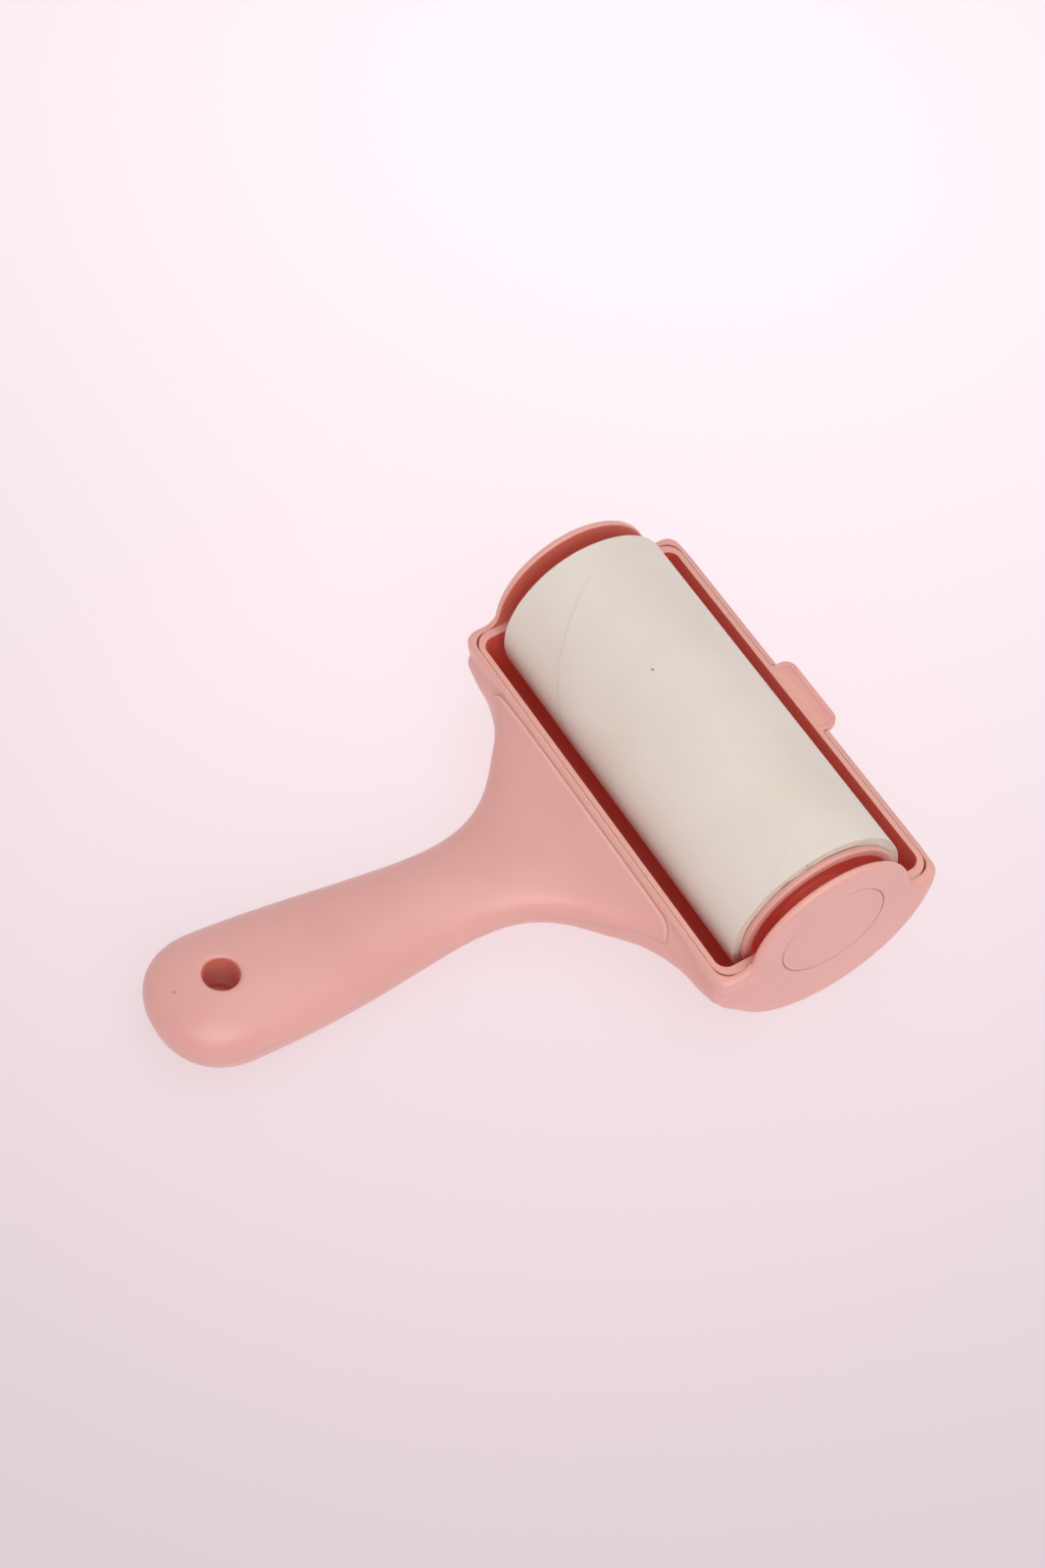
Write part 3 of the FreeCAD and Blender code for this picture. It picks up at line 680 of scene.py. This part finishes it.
def paper_face(name):
    """Sticky paper on the roll: a soft satin face with fibres, and a slanting tear line."""
    m = Nodes(name)
    here, (x, y, z) = m.tool_place()
    past_top = m.math("ARCTAN2", m.math("MULTIPLY", y, -1.0), z)
    along = m.math("SUBTRACT", m.math("SUBTRACT", x, SEAM_START),
                   m.math("MULTIPLY", past_top, SEAM_LEAD / (2 * math.pi)))
    wander = m.between(m.noise(here, 9), 0, 1, -0.5, 0.5)
    from_line = m.math("WRAP", m.math("ADD", along, wander), SEAM_LEAD / 2, -SEAM_LEAD / 2)
    shown = m.math("MULTIPLY", m.between(past_top, math.radians(-8), math.radians(30)),
                   m.between(x, 10, -5, 0.4, 1.0))
    hem = m.between(m.math("ABSOLUTE", m.math("ADD", from_line, 1.7)), 0.6, 0.1, 0.0, 0.5)
    line = m.math("ADD", hem, m.between(m.math("ABSOLUTE", from_line), 0.9, 0.1))
    line = m.math("MULTIPLY", shown, line)
    step = m.math("MULTIPLY", shown, m.between(from_line, -0.6, 0.6))
    fibres = m.noise(here, 0.5, detail=4, roughness=0.6)
    tint = m.blend(m.between(m.noise(here, 25, detail=2), 0.3, 0.7), PAPER, PAPER_LIGHT)
    tint = m.blend(m.math("MULTIPLY", m.between(fibres, 0.35, 0.7), 0.10), tint, FIBRE_TAN)
    tint = m.blend(m.math("MULTIPLY", line, 0.16), tint, LINE_TAN)
    speck = m.math("MAXIMUM", m.specks(here, 22, 0.014, 0.008), m.spot(here, PAPER_SPECK, 0.45))
    tint = m.blend(m.math("MULTIPLY", speck, 0.7), tint, SPECK_TAN)
    rough = m.between(fibres, 0.3, 0.7, 0.46, 0.56)
    normal = m.bump(step, 0.06, m.bump(fibres, 0.010, m.bump(m.noise(here, 14, detail=1), 0.03)))
    return m.finish(Base_Color=tint, Roughness=rough, Normal=normal, IOR=1.45,
                    Sheen_Weight=0.10, Sheen_Roughness=0.4, Subsurface_Weight=0.08,
                    Subsurface_Radius=(0.8 * MM, 0.7 * MM, 0.6 * MM), Subsurface_Scale=1.0)


def wound_edge(name):
    """The cut edges of many wound layers: fine rings, with adhesive showing between some of them."""
    m = Nodes(name)
    here, (x, y, z) = m.tool_place()
    waves = m.math("MULTIPLY", m.length(y, z), 2 * math.pi / RING_SPACING)
    wander = m.math("MULTIPLY", m.noise(here, 4, detail=3), 9.0)
    rings = m.math("SINE", m.math("ADD", waves, wander))
    fibres = m.noise(here, 0.5, detail=4, roughness=0.7)
    tint = m.blend(m.between(rings, -1.0, 1.0), RING_DARK, RING_LIGHT)
    soiled = m.between(m.noise(here, 1.6, detail=4, roughness=0.7), 0.56, 0.72)
    tint = m.blend(m.math("MULTIPLY", soiled, 0.6), tint, ADHESIVE)
    normal = m.bump(rings, 0.015, m.bump(fibres, 0.04))
    return m.finish(Base_Color=tint, Roughness=m.between(fibres, 0.3, 0.7, 0.6, 0.8), Normal=normal)


def board(name):
    """Plain grey-brown board."""
    m = Nodes(name)
    here, _ = m.tool_place()
    fibres = m.noise(here, 0.8, detail=5, roughness=0.65)
    tint = m.blend(m.between(fibres, 0.3, 0.7), BOARD_DARK, BOARD_LIGHT)
    return m.finish(Base_Color=tint, Roughness=0.8, Normal=m.bump(fibres, 0.05))


# The tear line on the roll is a helix: where it crosses the roll's top along X, and how far it
# advances in a turn. It fades out just in front of the top.
SEAM_START, SEAM_LEAD = -44.2, 84.6
RING_SPACING = 0.24
TAB_BORDER = 1.4
HANDLE_SPECK, PAPER_SPECK = (-0.94, -136.81, 9.24), (-12.24, -5.29, 22.08)

PINK, PINK_DEEP = linear(220, 163, 152), linear(217, 157, 146)
COVER_PINK, COVER_DEEP = linear(222, 161, 148), linear(219, 155, 142)
# painted highlights: the lighter colour of edges and of the rims and ears' edges
EDGE_HIGHLIGHT_PINK, RIM_HIGHLIGHT_PINK = linear(240, 186, 174), linear(242, 182, 160)
# painted shade: the darker line along the handle's seam
SEAM_SHADE_RED, SPECK_BROWN = linear(196, 116, 104), linear(120, 62, 54)
# painted shade: the deeper reds of the hollows, of the hanging hole and of the hubs' dished faces
HOUSING_SHADE_RED, TROUGH_SHADE_RED, HUB_SHADE_RED = linear(205, 116, 98), linear(198, 80, 62), linear(204, 108, 88)
PAPER, PAPER_LIGHT = linear(222, 213, 199), linear(227, 219, 206)
FIBRE_TAN, LINE_TAN, SPECK_TAN = linear(204, 193, 176), linear(186, 176, 160), linear(120, 98, 78)
RING_DARK, RING_LIGHT, ADHESIVE = linear(216, 204, 186), linear(231, 223, 210), linear(176, 136, 96)
BOARD_DARK, BOARD_LIGHT = linear(150, 128, 102), linear(182, 162, 134)

# each plastic's third colour is painted hollow shade, and its number is the strength of its painted glow
housing_material = plastic("housing_plastic", (PINK, PINK_DEEP, HOUSING_SHADE_RED), 0.05, housing_inside,
                           shift=0, seam=True, rim=True)
handle_material = plastic("handle_plastic", (PINK, PINK_DEEP, HOUSING_SHADE_RED), 0.035, hole_inside,
                          shift=31, seam=True)
cover_material = plastic("cover_plastic", (COVER_PINK, COVER_DEEP, TROUGH_SHADE_RED), 0.08, trough_inside,
                         shift=57, groove=tab_groove, rim=True)
hub_material = plastic("hub_plastic", (PINK, PINK_DEEP, HUB_SHADE_RED), 0.12, hub_inside, shift=83)

# ------------------------------------------------------------ pieces

# the box that each field is searched in, which is wider than its piece, and the size of its cells
HANDLE_END = -145.2
for name, layers, low, high, cell, body, material, slot, node in (
        ("head_frame_shell", head_layers, (-58.4, HANDLE_END, -31.4), (58.4, 31.4, 22.6), 0.75,
         "housing", housing_material, "housing_plastic", "head_frame"),
        ("handle_top_shell", lid_layers, (-43.5, HANDLE_END, -10.2), (43.5, -29.2, 12.0), 0.65,
         "housing", handle_material, "handle_plastic", "handle_top_cover"),
        ("dust_cover", cover_layers, (-56.2, -29.6, -29.6), (56.2, 35.2, 12.2), 0.7,
         "cover", cover_material, "cover_plastic", "flip_cover")):
    points, faces, normals = field_mesh(layers, low, high, cell)
    add_piece(name, points, faces, body, material, node, normals)

# Outlines turned about the roll's axis: place along it, distance from it and rounding.
CAP_FACE, CAP_BACK, CAP_RADIUS = HEAD_HALF - 0.12, 56.4, 13.62
PIVOT_END, PIVOT_RADIUS, PIVOT_HOLLOW = 44.3, 6.0, 3.8
CAP = [
    (CAP_FACE, 0.0, 0), (CAP_FACE, CAP_RADIUS, 0.2), (CAP_BACK, CAP_RADIUS, 0.1),
    (CAP_BACK, PIVOT_RADIUS, 0), (PIVOT_END, PIVOT_RADIUS, 0.3), (PIVOT_END, PIVOT_HOLLOW, 0.3),
    (CAVITY_HALF, PIVOT_HOLLOW, 0), (CAVITY_HALF, 0.0, 0),
]
HUB_SLEEVE, SLEEVE_START, BOSS_END = 18.95, ROLL_HALF - 12.0, ROLL_HALF + 2.4
HUB = [
    (SLEEVE_START, 17.3, 0), (SLEEVE_START, HUB_SLEEVE, 0.4), (ROLL_HALF, HUB_SLEEVE, 0),
    (ROLL_HALF, HUB_RADIUS, 0.25), (51.5, HUB_RADIUS, 0.5), (51.7, 18.8, 0.5), (49.4, 17.2, 1.2),
    (47.9, 13.0, 2.2), (48.2, 9.0, 0.8), (BOSS_END, 9.0, 0.35), (BOSS_END, PIVOT_BORE, 0.25),
    (44.5, PIVOT_BORE, 0.2), (44.5, 9.0, 0.2), (46.4, 9.0, 0.3), (46.4, 17.3, 0.6),
]
TURNED_SEGMENTS, PAPER_SEGMENTS = 256, 720
for side, sign in (("right", 1), ("left", -1)):
    for part, outline, body, material, slot in (
            ("pivot_cap", CAP, "housing", housing_material, "housing_plastic"),
            ("hub", HUB, "roller", hub_material, "hub_plastic")):
        points, faces = turned(rounded_outline(outline) * (sign, 1), TURNED_SEGMENTS)
        add_piece(f"{side}_{part}_piece", points, outward(points, faces), body, material,
                  f"{side}_{part}")

# ragged ends: every layer of paper stands a little further in or out than the next
rng = np.random.default_rng(7)
RAGGED_WAVES, WOUND_DEPTH, SHEET_DEPTH = 26, 0.25, 0.2


def ragged(angle, out, depth):
    """How far in from the roll's end the paper lies, for each angle and distance from the axis."""
    total = np.zeros_like(angle)
    for _ in range(RAGGED_WAVES):
        waves, layers, phase = rng.integers(1, 40), rng.uniform(-4, 4), rng.uniform(0, 2 * math.pi)
        total += np.sin(waves * angle + layers * out + phase) / math.sqrt(waves)
    total -= total.min()
    return depth * total / total.max()


def add_paper(name, outline, depth, material, node):
    """A layer of the roll, turned from its outline, with both its ends ragged."""
    points, faces = turned(outline, PAPER_SEGMENTS)
    angle, out = np.arctan2(points[:, 2], points[:, 1]), np.hypot(points[:, 1], points[:, 2])
    at_end = np.abs(points[:, 0]) > ROLL_HALF - 0.01
    points[:, 0] -= np.sign(points[:, 0]) * at_end * ragged(angle, out, depth)
    add_piece(name, points, outward(points, faces), "roller", material, node)


END_RINGS = 19
rings = np.linspace(CORE_RADIUS + TUBE_GAP, WOUND_RADIUS, END_RINGS)
right_end = np.stack([np.full_like(rings, ROLL_HALF), rings], axis=1)
outside = np.array([[x, WOUND_RADIUS] for x in (ROLL_HALF - 1, 0, 1 - ROLL_HALF)])
inside = np.array([[x, CORE_RADIUS + TUBE_GAP] for x in (1 - ROLL_HALF, ROLL_HALF - 1)])
add_paper("wound_sheets", np.concatenate([right_end, outside, right_end[::-1] * (-1, 1), inside]),
          WOUND_DEPTH, wound_edge("wound_paper"), "sheet_windings")

SHEET_EDGE, SHEET_STATIONS = 0.6, 60
between_ends = np.linspace(ROLL_HALF - SHEET_EDGE, SHEET_EDGE - ROLL_HALF, SHEET_STATIONS)
stations = np.concatenate([[ROLL_HALF], between_ends, [-ROLL_HALF]])
outer = np.stack([stations, np.full_like(stations, ROLL_RADIUS)], axis=1)
inner = np.stack([stations[::-1], np.full_like(stations, WOUND_RADIUS + PAPER_GAP)], axis=1)
add_paper("top_sheet_face", np.concatenate([outer, inner]), SHEET_DEPTH, paper_face("sheet_paper"),
          "top_sheet")

core = frame["nodes"]["cardboard_core"]
core.data.materials.clear()
core.data.materials.append(board("core_board"))


# ------------------------------------------------------------ floor, light and camera

# Lengths in metres. Part of the floor's brightness comes from the lights, and the rest is painted light
# in its emission.
FLOOR_DIFFUSE, FLOOR_BRIGHTEST, FLOOR_DIMMEST, FLOOR_REACH = 0.20, 1.07, 0.63, 0.6
BRIGHT_PLACE, TOOL_PLACE = (-0.22, 0.20, 0), (0.02, -0.02, 0)
FLOOR_HALF = 6.0
FLOOR_TINT, NEAR_BOUNCE_TINT, FLOOR_BASE = (1, 0.885, 0.93, 1), (1.09, 0.925, 0.96, 1), (0.22, 0.19, 0.20, 1)


def stage_material():
    """A pale lit table whose emission paints the light: brightest round one place behind the tool, and a
    painted pink glow of light bounced from the tool close to it.
    """
    m = Nodes("studio_floor")
    here = m.add("ShaderNodeTexCoord", output=3)
    level = m.between(m.distance(here, BRIGHT_PLACE), 0, FLOOR_REACH,
                      FLOOR_BRIGHTEST - FLOOR_DIFFUSE, FLOOR_DIMMEST - FLOOR_DIFFUSE)
    cloud = m.between(m.noise(here, 0.4, detail=1), 0.3, 0.7, 0.99, 1.01)
    # painted pink glow close to the tool, standing in for light bounced off the pink plastic
    painted_glow = m.blend(m.between(m.distance(here, TOOL_PLACE), 0.22, 0.05), FLOOR_TINT, NEAR_BOUNCE_TINT)
    return m.finish(Base_Color=FLOOR_BASE, Roughness=0.7, Specular_IOR_Level=0.1,
                    Emission_Color=painted_glow, Emission_Strength=m.math("MULTIPLY", level, cloud))


floor_mesh = bpy.data.meshes.new("studio_floor")
floor_corners = [(a * FLOOR_HALF, b * FLOOR_HALF, 0) for a, b in ((-1, -1), (1, -1), (1, 1), (-1, 1))]
floor_mesh.from_pydata(floor_corners, [], [(0, 1, 2, 3)])
floor_mesh.materials.append(stage_material())
floor = bpy.data.objects.new("studio_floor", floor_mesh)
bpy.context.scene.collection.objects.link(floor)
floor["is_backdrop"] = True


def soft_light(name, place, target, size, power, colour):
    data = bpy.data.lights.new(name, "AREA")
    data.shape, data.size, data.energy, data.color = "DISK", size, power, colour
    light = bpy.data.objects.new(name, data)
    light.location = place
    light.rotation_mode = "QUATERNION"
    light.rotation_quaternion = (Vector(target) - Vector(place)).to_track_quat("-Z", "Y")
    bpy.context.scene.collection.objects.link(light)
    light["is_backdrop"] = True


soft_light("key", (1.15, -0.4, 1.1), (0, 0.04, 0.02), 1.8, 13, (1.0, 0.98, 0.98))
soft_light("top", (-0.1, 0.35, 1.5), (0, 0.05, 0.02), 1.2, 2.5, (1.0, 0.98, 0.99))

WORLD_COLOUR, WORLD_STRENGTH = linear(250, 244, 248), 0.72
world = bpy.data.worlds.new("studio")
world.use_nodes = True
world.node_tree.nodes["Background"].inputs["Color"].default_value = WORLD_COLOUR
world.node_tree.nodes["Background"].inputs["Strength"].default_value = WORLD_STRENGTH
bpy.context.scene.world = world
bpy.context.scene.view_settings.view_transform = "Standard"

# the camera's place in mm, and where it looks and its right, in the tool's own directions
CAMERA_PLACE = (313.13, -237.32, 589.21)
CAMERA_LOOK = Vector((-0.4648, 0.2814, -0.8396)).normalized()
CAMERA_RIGHT = Vector((0.5178, 0.8555, 0.0)).normalized()
camera_data = bpy.data.cameras.new("camera")
camera_data.lens, camera_data.sensor_width = 68.96, 36
camera = bpy.data.objects.new("camera", camera_data)
up = CAMERA_RIGHT.cross(CAMERA_LOOK)
turn = Matrix(TIPPED.tolist()) @ Matrix((CAMERA_RIGHT, up, -CAMERA_LOOK)).transposed()
camera.matrix_world = Matrix.LocRotScale(Vector(to_row(CAMERA_PLACE)), turn.to_quaternion(), None)
bpy.context.scene.collection.objects.link(camera)
bpy.context.scene.camera = camera

low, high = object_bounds()
